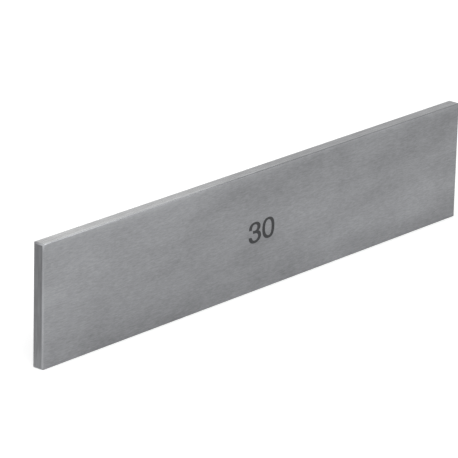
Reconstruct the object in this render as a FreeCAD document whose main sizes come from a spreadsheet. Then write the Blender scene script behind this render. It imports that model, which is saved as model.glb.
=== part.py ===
import FreeCAD, Part
import Sketcher
import os

# Precision parallel: one flat bar of hardened steel, ground on all its faces, that stands on edge
# in a vice and lifts the work to a known height. The bar is a single piece of metal.
#
# Lengths are in millimetres. The origin is the middle of the bottom face. X runs along the bar,
# Y through its thickness, with the face that carries the size mark towards -Y, and Z runs up to
# the working face.

BAR_NODE = "parallel_bar"

# Driving sizes: alias in the sheet, value, what it measures
SIZES = [
    ("bar_length", 150.0, "end face to end face"),
    ("bar_height", 30.0, "bottom face to working face, the size that the bar is marked with"),
    ("bar_thickness", 3.2, "broad face to broad face"),
    ("long_chamfer", 0.2, "leg of the 45 degree chamfer along each of the four long edges"),
    ("end_chamfer", 0.3, "leg of the 45 degree chamfer along each of the four edges of an end face"),
]


def make_sheet(doc):
    """The spreadsheet that drives every size, one aliased cell a row."""
    sheet = doc.addObject("Spreadsheet::Sheet", "Sizes")
    for row, (alias, value, meaning) in enumerate(SIZES, start=1):
        sheet.set(f"A{row}", alias)
        sheet.set(f"B{row}", str(value))
        sheet.set(f"C{row}", meaning)
        sheet.setAlias(f"B{row}", alias)
    doc.recompute()
    return sheet


def origin_plane(body, role):
    """The body's own origin plane with the given role, such as YZ_Plane."""
    return next(feature for feature in body.Origin.OriginFeatures if feature.Role == role)


def new_sketch(body, name, plane_role):
    """An empty sketch on one of the body's origin planes."""
    sketch = body.newObject("Sketcher::SketchObject", name)
    sketch.AttachmentSupport = [(origin_plane(body, plane_role), "")]
    sketch.MapMode = "FlatFace"
    return sketch


def drive(sketch, name, kind, start, end, size, sizes):
    """Sets the distance from one sketch point to another by a cell of the sheet."""
    index = sketch.addConstraint(
        Sketcher.Constraint(kind, *start, *end, getattr(sizes, size)))
    sketch.renameConstraint(index, name)
    sketch.setExpression(f"Constraints.{name}", f"Sizes.{size}")


def draw_loop(sketch, points):
    """Closed loop of lines through the points. Returns the index of each line."""
    starts, ends = 1, 2
    lines = [sketch.addGeometry(Part.LineSegment(start, end))
             for start, end in zip(points, points[1:] + points[:1])]
    for line, next_line in zip(lines, lines[1:] + lines[:1]):
        sketch.addConstraint(Sketcher.Constraint("Coincident", line, ends, next_line, starts))
    return lines


def keep_square(sketch, level_lines, upright_lines):
    """Keeps some lines level and others upright."""
    for kind, lines in (("Horizontal", level_lines), ("Vertical", upright_lines)):
        for line in lines:
            sketch.addConstraint(Sketcher.Constraint(kind, line))


def chamfered_rectangle(sketch, width, height, leg, sizes, stands):
    """Rectangle with its corners cut at 45 degrees, its sizes named by cells of the sheet.

    It stands on the sketch's origin, or has the origin at its middle. Returns its lines, round
    from the bottom one, with the cut corners in between."""
    half = getattr(sizes, width) / 2
    low = 0 if stands else -getattr(sizes, height) / 2
    high = low + getattr(sizes, height)
    cut = getattr(sizes, leg)
    lines = draw_loop(sketch, [
        FreeCAD.Vector(-half + cut, low, 0), FreeCAD.Vector(half - cut, low, 0),
        FreeCAD.Vector(half, low + cut, 0), FreeCAD.Vector(half, high - cut, 0),
        FreeCAD.Vector(half - cut, high, 0), FreeCAD.Vector(-half + cut, high, 0),
        FreeCAD.Vector(-half, high - cut, 0), FreeCAD.Vector(-half, low + cut, 0),
    ])
    bottom, low_right, right, high_right, top, high_left, left, low_left = lines
    keep_square(sketch, (bottom, top), (right, left))

    starts, ends = 1, 2
    sketch_origin = (-1, 1)
    mirrored = (bottom, ends) if stands else (top, starts)
    sketch.addConstraint(
        Sketcher.Constraint("Symmetric", bottom, starts, *mirrored, *sketch_origin))

    drive(sketch, "width", "DistanceX", (left, starts), (right, starts), width, sizes)
    drive(sketch, "height", "DistanceY", (bottom, starts), (top, starts), height, sizes)
    for name, line, left_end, low_end in (
            ("low_right", low_right, starts, starts), ("high_right", high_right, ends, starts),
            ("high_left", high_left, ends, ends), ("low_left", low_left, starts, ends)):
        for axis, near_end in (("X", left_end), ("Y", low_end)):
            far_end = ends if near_end == starts else starts
            drive(sketch, f"{name}_{axis}", f"Distance{axis}", (line, near_end),
                  (line, far_end), leg, sizes)
    return lines


def frame_round(sketch, lines, width, height, sizes, stands):
    """Plain rectangle round a chamfered one, the bar's thickness away from it on every side."""
    margin = sizes.bar_thickness
    half = getattr(sizes, width) / 2 + margin
    low = -margin if stands else -getattr(sizes, height) / 2 - margin
    high = low + getattr(sizes, height) + 2 * margin
    bottom, right, top, left = draw_loop(sketch, [
        FreeCAD.Vector(-half, low, 0), FreeCAD.Vector(half, low, 0),
        FreeCAD.Vector(half, high, 0), FreeCAD.Vector(-half, high, 0)])
    keep_square(sketch, (bottom, top), (right, left))

    starts = 1
    inner_bottom, inner_right, inner_top, inner_left = lines[::2]
    for name, kind, near, far in (
            ("margin_left", "DistanceX", left, inner_left),
            ("margin_right", "DistanceX", inner_right, right),
            ("margin_bottom", "DistanceY", bottom, inner_bottom),
            ("margin_top", "DistanceY", inner_top, top)):
        drive(sketch, name, kind, (near, starts), (far, starts), "bar_thickness", sizes)


def make_bar(doc, sizes):
    """The bar: its chamfered section padded both ways along X, then the ends chamfered.

    Each end chamfer is cut by a frame, drawn as seen from the side or from above, that takes off
    all that lies outside the bar's outline in that view."""
    body = doc.addObject("PartDesign::Body", "Bar")
    body.Label = BAR_NODE

    section = new_sketch(body, "EndSection", "YZ_Plane")
    chamfered_rectangle(section, "bar_thickness", "bar_height", "long_chamfer", sizes, True)
    blank = body.newObject("PartDesign::Pad", "Blank")
    blank.Profile = section
    blank.SideType = "Symmetric"
    blank.setExpression("Length", "Sizes.bar_length")
    doc.recompute()

    volume = blank.Shape.Volume
    for name, plane_role, height, stands in (
            ("CrossEdges", "XZ_Plane", "bar_height", True),
            ("UprightEdges", "XY_Plane", "bar_thickness", False)):
        outline = new_sketch(body, f"{name}Outline", plane_role)
        lines = chamfered_rectangle(outline, "bar_length", height, "end_chamfer", sizes, stands)
        frame_round(outline, lines, "bar_length", height, sizes, stands)
        cut = body.newObject("PartDesign::Pocket", name)
        cut.Profile = outline
        cut.Type = "ThroughAll"
        cut.SideType = "Symmetric"
        doc.recompute()
        if not cut.Shape.Volume < volume:
            raise RuntimeError(f"{name} took nothing off the bar")
        volume = cut.Shape.Volume
    body.Tip = cut
    return body


def check_document(doc, bodies):
    """Stop if any object failed to compute or a body isn't one sound solid."""
    for item in doc.Objects:
        if "Invalid" in item.State or "Error" in item.State:
            raise RuntimeError(f"{item.Label} failed: {item.State}")
    for body in bodies:
        shape = body.Shape
        if shape.isNull() or not shape.isValid() or len(shape.Solids) != 1:
            raise RuntimeError(f"{body.Label} is not one valid solid")


def write_parts(bodies):
    """One STEP file a node, named by the body's label."""
    os.makedirs("parts", exist_ok=True)
    for body in bodies:
        body.Shape.exportStep(f"parts/{body.Label}.step")
        box = body.Shape.BoundBox
        print(f"{body.Label}: {box.XLength:.3f} x {box.YLength:.3f} x {box.ZLength:.3f} mm, "
              f"{len(body.Shape.Faces)} faces, {body.Shape.Volume:.1f} mm3")


doc = FreeCAD.newDocument("PrecisionParallel")
sizes = make_sheet(doc)
bodies = [make_bar(doc, sizes)]
check_document(doc, bodies)
write_parts(bodies)
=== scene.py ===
import math

import bmesh
import bpy
from mathutils import Matrix, Vector


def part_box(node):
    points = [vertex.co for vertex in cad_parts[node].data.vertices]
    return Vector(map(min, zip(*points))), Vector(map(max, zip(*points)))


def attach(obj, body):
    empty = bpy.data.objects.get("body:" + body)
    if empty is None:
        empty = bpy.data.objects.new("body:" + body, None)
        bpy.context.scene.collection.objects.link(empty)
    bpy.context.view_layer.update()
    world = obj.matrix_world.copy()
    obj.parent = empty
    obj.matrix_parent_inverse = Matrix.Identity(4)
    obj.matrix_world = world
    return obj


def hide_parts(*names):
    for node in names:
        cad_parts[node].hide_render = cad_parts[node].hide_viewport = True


# Precision parallel: a flat bar of hardened steel, ground all over, with stoned edges and its
# height etched on one broad face. It stands on edge on a pale floor in soft studio light.
#
# X runs along the bar, -Y is the side of the marked face, and Z runs up from the bottom face.
# Lengths are in metres, or in millimetres where a name or a comment says so.

BAR_NODE = "parallel_bar"
MM = 0.001
WHITE = (1.0, 1.0, 1.0)
UNTURNED = (0.0, 0.0, 0.0)


# Helpers for shader nodes


def add_node(tree, kind, settings=None, **inputs):
    """A node with its settings and the values of its inputs, which are named with _ for a space."""
    node = tree.nodes.new(kind)
    for name, value in (settings or {}).items():
        setattr(node, name, value)
    for name, value in inputs.items():
        node.inputs[name.replace("_", " ")].default_value = value
    return node


def join(tree, output, target):
    """Links an output to an input."""
    tree.links.new(output, target)


def feed(tree, node, operands):
    """Gives a node its inputs in order. Each operand is an output or a value."""
    for target, operand in zip(node.inputs, operands):
        if isinstance(operand, bpy.types.NodeSocket):
            join(tree, operand, target)
        else:
            target.default_value = operand


def math_node(tree, operation, *operands):
    """The result of a Math node. Each operand is an output or a number."""
    node = add_node(tree, "ShaderNodeMath", {"operation": operation})
    feed(tree, node, operands)
    return node.outputs["Value"]


def vector_node(tree, operation, *operands):
    """The vector result of a Vector Math node. Each operand is an output or three numbers."""
    node = add_node(tree, "ShaderNodeVectorMath", {"operation": operation})
    feed(tree, node, operands)
    return node.outputs["Vector"]


def new_group(name, vectors, numbers, outputs):
    """A shader node group with named sockets, and its input and output nodes."""
    tree = bpy.data.node_groups.new(name, "ShaderNodeTree")
    for labels, side, kind in ((vectors, "INPUT", "NodeSocketVector"),
                               (numbers, "INPUT", "NodeSocketFloat"),
                               (outputs, "OUTPUT", "NodeSocketFloat")):
        for label in labels:
            tree.interface.new_socket(label, in_out=side, socket_type=kind)
    return tree, tree.nodes.new("NodeGroupInput"), tree.nodes.new("NodeGroupOutput")


def place_group(tree, group, vector, **values):
    """The group as a node of a material, fed with a place and its own values."""
    node = add_node(tree, "ShaderNodeGroup", {"node_tree": group}, **values)
    join(tree, vector, node.inputs["Place"])
    return node


def noise(tree, vector, detail, roughness, distortion=0.0):
    """A noise value about 0.5 that rises and falls about once a unit of the vector."""
    node = add_node(tree, "ShaderNodeTexNoise", {"noise_dimensions": "3D"}, Scale=1.0,
                    Detail=detail, Roughness=roughness, Distortion=distortion)
    join(tree, vector, node.inputs["Vector"])
    return node.outputs["Fac"]


# Surface effects that several finishes share

# The marks of a grinding wheel: how many runs long and how many pitches wide they are, and the
# detail and roughness of their noise
LAY_MARKS = [
    ("Lines", 1.0, 1.0, 3.0, 0.62),
    ("Hatch", 0.5, 1.6, 2.0, 0.60),
    ("Passes", 18.0, 13.0, 0.0, 0.50),
]
HATCH_ANGLE = math.radians(9.0)
HATCH_MOVED_MM = (31.0, 17.0, 5.0)

# How long and wide a slow cloud and a spot of the mottle are
CLOUD_MM = (18.0, 9.0, 9.0)
MOTTLE_MM = (2.0, 2.0, 2.0)


def grinding_lay_group():
    """Marks that a grinding wheel leaves along local X: short fine lines, wider ones that cross
    them at a small angle, and the broad soft passes of the wheel.

    Place, Pitch and Run are in millimetres. Each output is a value about 0.5."""
    tree, taken, given = new_group("GrindingLay", ["Place"], ["Pitch", "Run"],
                                   [mark[0] for mark in LAY_MARKS])
    place, pitch, run = (taken.outputs[name] for name in ("Place", "Pitch", "Run"))
    crossing = add_node(tree, "ShaderNodeMapping", Location=HATCH_MOVED_MM,
                        Rotation=(0.0, HATCH_ANGLE, HATCH_ANGLE))
    join(tree, place, crossing.inputs["Vector"])
    for name, run_times, pitch_times, detail, roughness in LAY_MARKS:
        cell = add_node(tree, "ShaderNodeCombineXYZ")
        join(tree, math_node(tree, "MULTIPLY", run, run_times), cell.inputs["X"])
        width = math_node(tree, "MULTIPLY", pitch, pitch_times)
        for axis in ("Y", "Z"):
            join(tree, width, cell.inputs[axis])
        spot = crossing.outputs["Vector"] if name == "Hatch" else place
        in_cells = vector_node(tree, "DIVIDE", spot, cell.outputs["Vector"])
        join(tree, noise(tree, in_cells, detail, roughness), given.inputs[name])
    return tree


def soft_clouds_group():
    """Slow changes of tone, as oil and handling leave on ground steel, and a fine mottle.

    Place is in millimetres. Each output is a value about 0.5."""
    tree, taken, given = new_group("SoftClouds", ["Place"], [], ["Clouds", "Mottle"])
    place = taken.outputs["Place"]
    slow = vector_node(tree, "DIVIDE", place, CLOUD_MM)
    join(tree, noise(tree, slow, detail=1.0, roughness=0.5, distortion=0.5),
         given.inputs["Clouds"])
    fine = vector_node(tree, "DIVIDE", place, MOTTLE_MM)
    join(tree, noise(tree, fine, detail=4.0, roughness=0.75), given.inputs["Mottle"])
    return tree


def soft_patch_group():
    """1 at the centre of a soft oval patch, and 0 past its reach. All in millimetres."""
    tree, taken, given = new_group("SoftPatch", ["Place", "Centre", "Reach"], [], ["Patch"])
    oval = add_node(tree, "ShaderNodeMapping", {"vector_type": "TEXTURE"})
    for name, socket in (("Place", "Vector"), ("Centre", "Location"), ("Reach", "Scale")):
        join(tree, taken.outputs[name], oval.inputs[socket])
    ball = add_node(tree, "ShaderNodeTexGradient", {"gradient_type": "SPHERICAL"})
    join(tree, oval.outputs["Vector"], ball.inputs["Vector"])
    eased = add_node(tree, "ShaderNodeMapRange", {"interpolation_type": "SMOOTHSTEP"})
    join(tree, ball.outputs["Fac"], eased.inputs["Value"])
    join(tree, eased.outputs["Result"], given.inputs["Patch"])
    return tree


# Finishes

# The bar's material slots, in order
BROAD, NARROW, END, EDGE, MARK = range(5)

GROUND_STEEL = (0.266, 0.270, 0.279)
# The next colour is the ground steel painted darker, as painted shade on the end faces
SHADED_END_STEEL = (0.186, 0.189, 0.195)
# And the next is it painted a little darker, as painted shade for the dark line along the chamfers
SHADED_EDGE_STEEL = (0.232, 0.236, 0.244)
MARK_GREY = (0.023, 0.024, 0.026)
UPRIGHT_LAY = (0.0, math.radians(90.0), 0.0)

# How far each shared effect moves the tone, the roughness and the relief of ground steel
TONE_SHARES = {"Lines": 0.36, "Hatch": 0.08, "Passes": 0.06, "Clouds": 0.16, "Mottle": 0.14}
ROUGHNESS_SHARES = {"Lines": 0.06, "Mottle": 0.04, "Clouds": -0.05}
RELIEF_SHARES = {"Lines": 0.5, "Hatch": 0.35, "Passes": 0.6}
LAY_DEPTH = 0.003 * MM

# And those of the etched mark
MARK_TONE_SHARES = {"Lines": 0.3, "Mottle": 0.25}
MARK_ROUGHNESS = 0.62
MARK_ROUGHNESS_SHARES = {"Lines": 0.1}
MARK_LINE_DEPTH = 0.006 * MM

# Soft patches of painted light and shade, and on the marked side also of the steel's own tone:
# centre and reach in millimetres, and how much lighter or darker the steel is there
# On the marked side: painted light towards the left end and along the top edge, painted shade along
# the foot, and between them spots of the steel's own tone
MARKED_SIDE_TONE_AND_PAINTED_LIGHT = [
    ((0.0, -1.6, 30.0), (400.0, 3.0, 3.5), 0.08),        # painted highlight along the top edge
    ((0.0, -1.6, 30.0), (400.0, 3.0, 1.4), 0.14),        # and most of all beside it
    ((-40.0, -1.6, 30.0), (18.0, 3.0, 3.0), 0.09),       # at the left third too
    ((0.0, -1.6, 0.0), (400.0, 3.0, 8.0), -0.06),        # painted shade along the foot
    ((-78.0, -1.6, 11.0), (36.0, 3.0, 24.0), 0.23),      # painted light at the left end
    ((-76.0, -1.6, 29.0), (7.0, 3.0, 8.0), 0.08),        # and its upper corner
    ((-46.0, -1.6, 28.0), (40.0, 3.0, 15.0), 0.15),      # painted light towards the upper left
    ((-52.0, -1.6, 16.0), (24.0, 3.0, 8.0), 0.05),       # and a little below that
    ((-57.0, -1.6, 2.0), (30.0, 3.0, 10.0), -0.12),      # painted shade at the lower left
    ((-10.0, -1.6, 3.0), (16.0, 3.0, 8.0), 0.08),        # a lighter spot below the size
    ((14.0, -1.6, 26.0), (24.0, 3.0, 9.0), -0.07),       # darker spots right of the middle
    ((66.0, -1.6, 26.0), (26.0, 3.0, 9.0), -0.11),       # and at the upper right
    ((20.0, -1.6, 16.0), (26.0, 3.0, 7.0), 0.12),        # bright streak from the size
    ((46.0, -1.6, 9.0), (44.0, 3.0, 8.0), 0.18),         # to the right
    ((68.0, -1.6, 0.0), (26.0, 3.0, 7.0), -0.10),        # painted shade at the lower right corner
]
# On the top face: painted highlight and painted shade
NARROW_FACE_PAINTED_LIGHT = [
    ((-70.0, -1.4, 30.0), (130.0, 1.0, 3.0), 0.32),      # painted highlight beside the marked side
    ((-75.0, 0.6, 30.0), (30.0, 2.4, 3.0), -0.08),       # painted shade, a little darker at the left end
    ((-40.0, 0.0, 30.0), (24.0, 4.0, 3.0), 0.06),        # painted highlight at the left third
    ((7.0, 0.0, 30.0), (24.0, 4.0, 3.0), -0.09),         # painted shade in the middle
    ((50.0, 0.0, 30.0), (24.0, 4.0, 3.0), -0.05),        # and at the right
]
# On the end faces: painted reflection and painted shade
END_FACE_PAINTED_LIGHT = [
    ((-75.0, 0.0, 0.0), (4.0, 8.0, 8.0), 0.32),          # painted reflection, lighter at its foot
    ((-75.0, 0.0, 30.0), (4.0, 12.0, 12.0), -0.06),      # painted shade at its top
]
# On the chamfers: painted highlight at the left, and painted shade in the middle of the long edge
EDGE_PAINTED_LIGHT = [
    ((-75.0, -1.6, 10.0), (4.0, 4.0, 33.0), 0.55),       # painted highlight on the front corner
    ((-75.0, -1.2, 30.0), (2.0, 2.4, 2.0), 0.55),        # and the top of the end beside it
    ((-70.0, -1.6, 30.0), (60.0, 3.0, 3.0), 0.16),       # and the long edge beside it
    ((-16.0, -1.6, 30.0), (62.0, 3.0, 3.0), -0.28),      # with painted shade in the middle
]


def place_in_mm(tree, turn=UNTURNED):
    """Object coordinates in millimetres, turned so that the lay runs along local X."""
    coordinates = add_node(tree, "ShaderNodeTexCoord")
    mapping = add_node(tree, "ShaderNodeMapping", Rotation=turn, Scale=(1 / MM,) * 3)
    join(tree, coordinates.outputs["Object"], mapping.inputs["Vector"])
    return mapping.outputs["Vector"]


def surface_effects(tree, groups, turn, pitch, run):
    """The shared effects by name. The pitch and run of the turned lay are in millimetres."""
    place = place_in_mm(tree, turn)
    lay = place_group(tree, groups["lay"], place, Pitch=pitch, Run=run)
    clouds = place_group(tree, groups["clouds"], place)
    return {output.name: output for node in (lay, clouds) for output in node.outputs}


def weighed(tree, start, effects, shares):
    """A start value plus each effect's distance from 0.5 times twice its share."""
    total = start
    for name, share in shares.items():
        centred = math_node(tree, "SUBTRACT", effects[name], 0.5)
        total = math_node(tree, "MULTIPLY_ADD", centred, 2 * share, total)
    return total


def new_finish(name, metallic):
    """A new material with its node tree and its shader."""
    material = bpy.data.materials.new(name)
    material.use_nodes = True
    shader = material.node_tree.nodes["Principled BSDF"]
    shader.inputs["Metallic"].default_value = metallic
    return material, material.node_tree, shader


def give_tone(tree, shader, tone, factor):
    """Gives the shader a base colour that the factor makes lighter or darker."""
    colour = add_node(tree, "ShaderNodeVectorMath", {"operation": "SCALE"})
    colour.inputs[0].default_value = tone
    join(tree, factor, colour.inputs["Scale"])
    join(tree, colour.outputs["Vector"], shader.inputs["Base Color"])


def give_relief(tree, shader, height, depth):
    """Gives the shader fine relief, as deep as depth where the height changes by 1."""
    bump = add_node(tree, "ShaderNodeBump", Strength=1.0, Distance=depth)
    join(tree, height, bump.inputs["Height"])
    join(tree, bump.outputs["Normal"], shader.inputs["Normal"])


def ground_steel(name, groups, tone, roughness, pitch, run, tone_and_painted_light, shares=None, turn=UNTURNED):
    """Surface ground steel whose lay and clouds change its tone, gloss and relief, and whose
    patches add painted light and shade and tone of its own.

    The pitch and run of its lay are in millimetres. shares has the tone shares that differ from
    the usual ones."""
    material, tree, shader = new_finish(name, metallic=1.0)
    effects = surface_effects(tree, groups, turn, pitch, run)
    place = place_in_mm(tree)
    factor = weighed(tree, 1.0, effects, {**TONE_SHARES, **(shares or {})})
    # Each patch lightens or darkens the tone: painted light and shade, and on the marked side also
    # spots of the steel's own tone
    for centre, reach, share in tone_and_painted_light:
        patch = place_group(tree, groups["patch"], place, Centre=centre, Reach=reach)
        factor = math_node(tree, "MULTIPLY_ADD", patch.outputs["Patch"], share, factor)
    give_tone(tree, shader, tone, factor)
    join(tree, weighed(tree, roughness, effects, ROUGHNESS_SHARES), shader.inputs["Roughness"])
    give_relief(tree, shader, weighed(tree, 0.5, effects, RELIEF_SHARES), LAY_DEPTH)
    return material


def etched_mark(groups):
    """The dull dark grey that a laser leaves, with the fine lines of its passes."""
    material, tree, shader = new_finish("EtchedMark", metallic=0.0)
    effects = surface_effects(tree, groups, UNTURNED, pitch=0.09, run=1.5)
    give_tone(tree, shader, MARK_GREY, weighed(tree, 1.0, effects, MARK_TONE_SHARES))
    join(tree, weighed(tree, MARK_ROUGHNESS, effects, MARK_ROUGHNESS_SHARES),
         shader.inputs["Roughness"])
    give_relief(tree, shader, effects["Lines"], MARK_LINE_DEPTH)
    return material


def bar_finishes():
    """The bar's materials in the order of its slots."""
    groups = {"lay": grinding_lay_group(), "clouds": soft_clouds_group(),
              "patch": soft_patch_group()}
    return [
        ground_steel("BroadFace", groups, GROUND_STEEL, roughness=0.40, pitch=0.21, run=1.5,
                     tone_and_painted_light=MARKED_SIDE_TONE_AND_PAINTED_LIGHT),
        ground_steel("NarrowFace", groups, GROUND_STEEL, roughness=0.27, pitch=0.45, run=5.0,
                     tone_and_painted_light=NARROW_FACE_PAINTED_LIGHT,
                     shares={"Lines": 0.50, "Hatch": 0.16, "Passes": 0.10, "Mottle": 0.04}),
        ground_steel("EndFace", groups, SHADED_END_STEEL, roughness=0.44, pitch=0.25, run=6.0,
                     tone_and_painted_light=END_FACE_PAINTED_LIGHT, shares={"Lines": 0.50}, turn=UPRIGHT_LAY),
        ground_steel("StonedEdge", groups, SHADED_EDGE_STEEL, roughness=0.20, pitch=0.10, run=5.0,
                     tone_and_painted_light=EDGE_PAINTED_LIGHT),
        etched_mark(groups),
    ]


# The bar

# Its edges: 45 degree chamfers, wider round the end faces than along the bar, whose own corners
# are rubbed a little with the stone
LONG_CHAMFER = 0.2 * MM
END_CHAMFER = 0.3 * MM
RUBBED_ARRIS = 0.06 * MM
RUBBED_SEGMENTS = 3

# A face that looks more squarely than this along Y or Z, or along X, is a ground face. The others
# are edges.
SQUARE_ON = 0.92
END_SQUARE_ON = 0.99


def cut_past_plane(bm, point, direction):
    """Cuts away what lies past the plane and closes the solid again."""
    whole = [*bm.verts, *bm.edges, *bm.faces]
    cut = bmesh.ops.bisect_plane(bm, geom=whole, plane_co=point, plane_no=direction,
                                 clear_outer=True)
    rim = [part for part in cut["geom_cut"] if isinstance(part, bmesh.types.BMEdge)]
    bmesh.ops.contextual_create(bm, geom=rim)


def chamfer_block(bm, low, high, legs):
    """Chamfers the block from low to high. The legs are for the edges along X, Y and Z."""
    for along, leg in enumerate(legs):
        first, second = (axis for axis in range(3) if axis != along)
        for side in (-1, 1):
            for other_side in (-1, 1):
                direction = Vector((0.0, 0.0, 0.0))
                direction[first] = side
                direction[second] = other_side
                point = Vector((0.0, 0.0, 0.0))
                point[first] = (high if side > 0 else low)[first] - side * leg
                point[second] = (high if other_side > 0 else low)[second]
                cut_past_plane(bm, point, direction.normalized())


def finish_of(normal):
    """The slot for a face that looks along this direction."""
    for slot, part, square_on in ((END, normal.x, END_SQUARE_ON), (BROAD, normal.y, SQUARE_ON),
                                  (NARROW, normal.z, SQUARE_ON)):
        if abs(part) > square_on:
            return slot
    return EDGE


def bar_mesh(low, high):
    """The bar that fills the box from low to high: a block, chamfered all round, then rubbed."""
    bm = bmesh.new()
    bmesh.ops.create_cube(bm, size=1.0)
    bmesh.ops.scale(bm, vec=high - low, verts=bm.verts)
    bmesh.ops.translate(bm, vec=(low + high) / 2, verts=bm.verts)
    chamfer_block(bm, low, high, (LONG_CHAMFER, END_CHAMFER, END_CHAMFER))
    bmesh.ops.bevel(bm, geom=list(bm.edges), offset=RUBBED_ARRIS, offset_type="OFFSET",
                    segments=RUBBED_SEGMENTS, profile=0.5, affect="EDGES", clamp_overlap=True,
                    material=-1)
    bmesh.ops.recalc_face_normals(bm, faces=bm.faces)
    bm.normal_update()
    for face in bm.faces:
        face.material_index = finish_of(face.normal)
    mesh = bpy.data.meshes.new("Bar")
    bm.to_mesh(mesh)
    bm.free()
    return mesh


# The etched size

# The cutter stands proud of the face, so that it opens it cleanly
ETCH_DEPTH = 0.03 * MM
CUTTER_PROUD = 0.2 * MM
OUTLINE_STEPS = 10
MERGE_WITHIN = 0.0005 * MM
STRAIGHT_WITHIN = math.radians(0.5)

# Outlines in millimetres, x along the bar from its middle and z up from its bottom face. A point
# is its place and the places of its handle before and after it. Where a line runs straight, the
# handle is the point itself. An oval has its centre, its half width and half height, and how far
# its handles reach towards the corners.
ZERO_CENTRE_MM = (2.10, 15.05)
ZERO_HALF_MM = (2.21, 2.60)
ZERO_FULL = 0.675
BOWL_CENTRE_MM = (2.08, 15.10)
BOWL_HALF_MM = (1.21, 1.97)
BOWL_FULL = 0.61
FOOT_MOVED_MM = (0.20, -0.08)

THREE_MM = [
    # upper terminal, its outer corner, and round the upper bowl to the waist
    ((-4.93, 15.70), (-4.93, 15.70), (-5.08, 16.92)),
    ((-2.84, 17.57), (-4.14, 17.57), (-1.60, 17.57)),
    ((-0.77, 16.21), (-0.77, 16.96), (-0.77, 15.77)),
    ((-1.46, 15.19), (-1.06, 15.36), (-0.90, 14.99)),
    # round the lower bowl to the lower terminal
    ((-0.48, 13.87), (-0.48, 14.50), (-0.48, 12.91)),
    ((-2.80, 12.24), (-1.57, 12.24), (-4.18, 12.24)),
    ((-5.01, 13.99), (-4.93, 12.87), (-5.01, 13.99)),
    ((-3.85, 13.86), (-3.85, 13.86), (-3.72, 13.20)),
    # inside of the lower bowl
    ((-2.80, 12.93), (-3.28, 12.93), (-2.07, 12.93)),
    ((-1.61, 13.87), (-1.61, 13.34), (-1.61, 14.37)),
    ((-2.70, 14.68), (-2.07, 14.68), (-2.70, 14.68)),
    # left end of the middle stroke
    ((-3.42, 14.68), (-3.42, 14.68), (-3.42, 14.68)),
    ((-3.55, 15.43), (-3.55, 15.43), (-3.55, 15.43)),
    # inside of the upper bowl
    ((-2.80, 15.42), (-2.80, 15.42), (-2.22, 15.42)),
    ((-1.95, 16.21), (-1.95, 15.81), (-1.95, 16.67)),
    ((-2.86, 16.95), (-2.33, 16.95), (-3.50, 16.95)),
    ((-3.84, 15.66), (-3.92, 16.55), (-3.84, 15.66)),
]


def oval_mm(centre, half, full):
    """An upright oval as four points, with its lowest one a little off the middle."""
    x, z = centre
    across, up = half
    foot_x, foot_z = x + FOOT_MOVED_MM[0], z - up + FOOT_MOVED_MM[1]
    return [
        ((x, z + up), (x - across * full, z + up), (x + across * full, z + up)),
        ((x + across, z), (x + across, z + up * full), (x + across, z - up * full)),
        ((foot_x, foot_z), (foot_x + across * full, foot_z), (foot_x - across * full, foot_z)),
        ((x - across, z), (x - across, z - up * full), (x - across, z + up * full)),
    ]


def flat_curve(outlines_mm, thickness):
    """A flat filled curve with these closed outlines, as thick as given, centred on its plane."""
    curve = bpy.data.curves.new("SizeOutline", "CURVE")
    curve.dimensions = "2D"
    curve.fill_mode = "BOTH"
    curve.extrude = thickness / 2
    curve.resolution_u = OUTLINE_STEPS
    for outline in outlines_mm:
        spline = curve.splines.new("BEZIER")
        spline.bezier_points.add(len(outline) - 1)
        spline.use_cyclic_u = True
        for point, places in zip(spline.bezier_points, outline):
            at, before, after = (Vector((x * MM, z * MM, 0.0)) for x, z in places)
            point.handle_left_type = point.handle_right_type = "FREE"
            point.co, point.handle_left, point.handle_right = at, before, after
    return curve


def etching_cutter(face_y):
    """The solid that etches the size into the marked face, which lies at face_y."""
    thickness = CUTTER_PROUD + ETCH_DEPTH
    outlines = [THREE_MM, oval_mm(ZERO_CENTRE_MM, ZERO_HALF_MM, ZERO_FULL),
                oval_mm(BOWL_CENTRE_MM, BOWL_HALF_MM, BOWL_FULL)]
    drawn = bpy.data.objects.new("SizeOutline", flat_curve(outlines, thickness))
    mesh = bpy.data.meshes.new_from_object(drawn)
    bpy.data.objects.remove(drawn)
    middle = face_y + ETCH_DEPTH - thickness / 2
    stand_up = Matrix.Rotation(math.radians(90.0), 4, "X")
    mesh.transform(Matrix.Translation((0.0, middle, 0.0)) @ stand_up)

    bm = bmesh.new()
    bm.from_mesh(mesh)
    bmesh.ops.remove_doubles(bm, verts=bm.verts, dist=MERGE_WITHIN)
    bmesh.ops.dissolve_limit(bm, angle_limit=STRAIGHT_WITHIN, verts=bm.verts, edges=bm.edges)
    bmesh.ops.recalc_face_normals(bm, faces=bm.faces)
    for face in bm.faces:
        face.material_index = MARK
    bm.to_mesh(mesh)
    bm.free()
    return mesh


def etch_size(bar, face_y):
    """Cuts the size into the bar's marked face and keeps the result as the bar's mesh."""
    cutter = bpy.data.objects.new("SizeCutter", etching_cutter(face_y))
    for finish in bar.data.materials:
        cutter.data.materials.append(finish)
    bpy.context.scene.collection.objects.link(cutter)
    cut = bar.modifiers.new("Etching", "BOOLEAN")
    cut.operation = "DIFFERENCE"
    cut.solver = "EXACT"
    cut.material_mode = "INDEX"
    cut.object = cutter
    bpy.context.view_layer.update()
    etched = bpy.data.meshes.new_from_object(
        bar.evaluated_get(bpy.context.evaluated_depsgraph_get()))
    bar.modifiers.clear()
    bar.data = etched
    bar.data.name = "Bar"
    bpy.data.objects.remove(cutter)


def build_bar():
    """The finished bar in the place of its CAD node."""
    low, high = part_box(BAR_NODE)
    bar = bpy.data.objects.new("ground_bar", bar_mesh(low, high))
    bpy.context.scene.collection.objects.link(bar)
    for finish in bar_finishes():
        bar.data.materials.append(finish)
    etch_size(bar, low.y)
    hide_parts(BAR_NODE)
    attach(bar, "root")


# The studio

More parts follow.
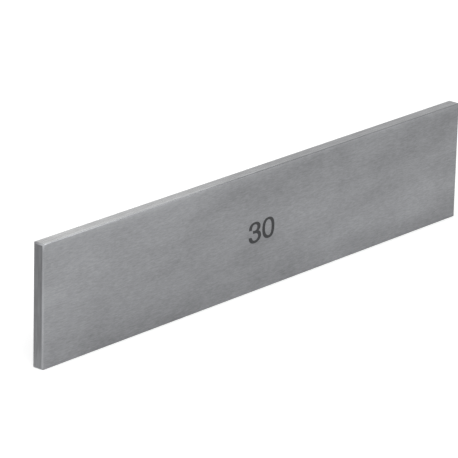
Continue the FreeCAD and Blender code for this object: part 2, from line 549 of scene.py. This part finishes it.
# The floor's half width and tone, and how much it glows to the camera and in reflections. The
# world is plain white to both, and its light is its strength for all other rays.
FLOOR_HALF = 2.0
FLOOR_TONE = 0.80
FLOOR_GLOW_SEEN = 0.42
FLOOR_GLOW_MIRRORED = 0.28
WORLD_LIGHT = 0.55

BAR_MIDDLE = (0.0, 0.0, 0.015)
LAMPS = [
    {"name": "KeyLamp", "place": (-0.50, -0.36, 0.56), "aim": BAR_MIDDLE,
     "width": 1.10, "height": 1.10, "watts": 5.35, "colour": WHITE},
    {"name": "BackLamp", "place": (0.126, 0.197, 0.13), "aim": (0.126, 0.197, 0.0),
     "width": 0.12, "height": 0.10, "watts": 0.033, "colour": (1.0, 0.99, 0.93)},
    {"name": "EdgeLamp", "place": (0.190, -0.114, 0.25), "aim": (0.190, -0.114, 0.0),
     "width": 0.10, "height": 0.08, "watts": 0.054, "colour": WHITE},
]

# The camera, with its angles in degrees
PHOTO_SIDE = 458
SENSOR_WIDTH_MM = 36.0
FOCAL_PIXELS = 3725.9
CAMERA_AZIMUTH = -49.284
CAMERA_ELEVATION = 19.302
CAMERA_ROLL = 1.472
CAMERA_DISTANCE = 0.87671
CAMERA_TARGET = Vector((-0.010347, 0.0, 0.017291))


def background_rays(tree):
    """1 for rays from the camera or else 0, and 1 for rays that metal or glass sends on."""
    path = add_node(tree, "ShaderNodeLightPath")
    sent_on = math_node(tree, "MAXIMUM", path.outputs["Is Glossy Ray"],
                        path.outputs["Is Transmission Ray"])
    return path.outputs["Is Camera Ray"], sent_on


def floor_finish():
    """A dull pale finish that glows a little where the camera or a mirroring face sees it."""
    material, tree, shader = new_finish("PaleFloor", metallic=0.0)
    shader.inputs["Base Color"].default_value = (FLOOR_TONE, FLOOR_TONE, FLOOR_TONE, 1.0)
    shader.inputs["Roughness"].default_value = 1.0
    shader.inputs["Specular IOR Level"].default_value = 0.0
    shader.inputs["Emission Color"].default_value = (*WHITE, 1.0)
    seen, sent_on = background_rays(tree)
    glow = math_node(tree, "MULTIPLY", sent_on, FLOOR_GLOW_MIRRORED)
    join(tree, math_node(tree, "MULTIPLY_ADD", seen, FLOOR_GLOW_SEEN, glow),
         shader.inputs["Emission Strength"])
    return material


def pale_floor():
    """A plain floor that shows white, but for the bar's soft shadow behind it."""
    bm = bmesh.new()
    bmesh.ops.create_grid(bm, x_segments=1, y_segments=1, size=FLOOR_HALF)
    mesh = bpy.data.meshes.new("Floor")
    bm.to_mesh(mesh)
    bm.free()
    mesh.materials.append(floor_finish())
    floor = bpy.data.objects.new("floor", mesh)
    bpy.context.scene.collection.objects.link(floor)


def studio_world():
    """White behind everything, and soft even light from all sides."""
    world = bpy.data.worlds.new("Studio")
    world.use_nodes = True
    tree = world.node_tree
    background = tree.nodes["Background"]
    background.inputs["Color"].default_value = (*WHITE, 1.0)
    shown = math_node(tree, "MAXIMUM", *background_rays(tree))
    join(tree, math_node(tree, "MULTIPLY_ADD", shown, 1.0 - WORLD_LIGHT, WORLD_LIGHT),
         background.inputs["Strength"])
    bpy.context.scene.world = world


def soft_box(name, place, aim, width, height, watts, colour):
    """A rectangular lamp at a place that faces a point."""
    light = bpy.data.lights.new(name, "AREA")
    light.shape = "RECTANGLE"
    light.size = width
    light.size_y = height
    light.energy = watts
    light.color = colour
    lamp = bpy.data.objects.new(name, light)
    lamp.location = place
    lamp.rotation_euler = (Vector(aim) - Vector(place)).to_track_quat("-Z", "Y").to_euler()
    lamp.visible_camera = False
    bpy.context.scene.collection.objects.link(lamp)


def studio_lamps():
    """A large key lamp at the upper left, and two small ones at the right that face straight down:
    one behind the bar for its working face, and one in front for its edges."""
    for lamp in LAMPS:
        soft_box(**lamp)


def photo_camera():
    """The camera, which looks at the bar from the left, above the marked face."""
    azimuth, elevation, roll = (math.radians(angle) for angle in (
        CAMERA_AZIMUTH, CAMERA_ELEVATION, CAMERA_ROLL))
    back = Vector((math.sin(azimuth) * math.cos(elevation),
                   -math.cos(azimuth) * math.cos(elevation), math.sin(elevation)))
    level_right = (-back).cross(Vector((0.0, 0.0, 1.0))).normalized()
    level_up = level_right.cross(-back)
    right = level_right * math.cos(roll) + level_up * math.sin(roll)
    up = level_up * math.cos(roll) - level_right * math.sin(roll)

    camera = bpy.data.objects.new("Camera", bpy.data.cameras.new("Camera"))
    camera.data.sensor_width = SENSOR_WIDTH_MM
    camera.data.lens = FOCAL_PIXELS / PHOTO_SIDE * SENSOR_WIDTH_MM
    axes = Matrix((right, up, back)).transposed().to_4x4()
    camera.matrix_world = Matrix.Translation(CAMERA_TARGET + back * CAMERA_DISTANCE) @ axes
    bpy.context.scene.collection.objects.link(camera)
    bpy.context.scene.camera = camera


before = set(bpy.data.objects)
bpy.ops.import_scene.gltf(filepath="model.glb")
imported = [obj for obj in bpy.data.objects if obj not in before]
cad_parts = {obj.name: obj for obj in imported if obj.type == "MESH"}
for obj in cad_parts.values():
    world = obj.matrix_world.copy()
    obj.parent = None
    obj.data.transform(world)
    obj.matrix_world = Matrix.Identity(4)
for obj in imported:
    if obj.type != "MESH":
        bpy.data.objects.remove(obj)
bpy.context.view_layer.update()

build_bar()
pale_floor()
studio_world()
studio_lamps()
photo_camera()
bpy.context.scene.view_settings.view_transform = "Standard"
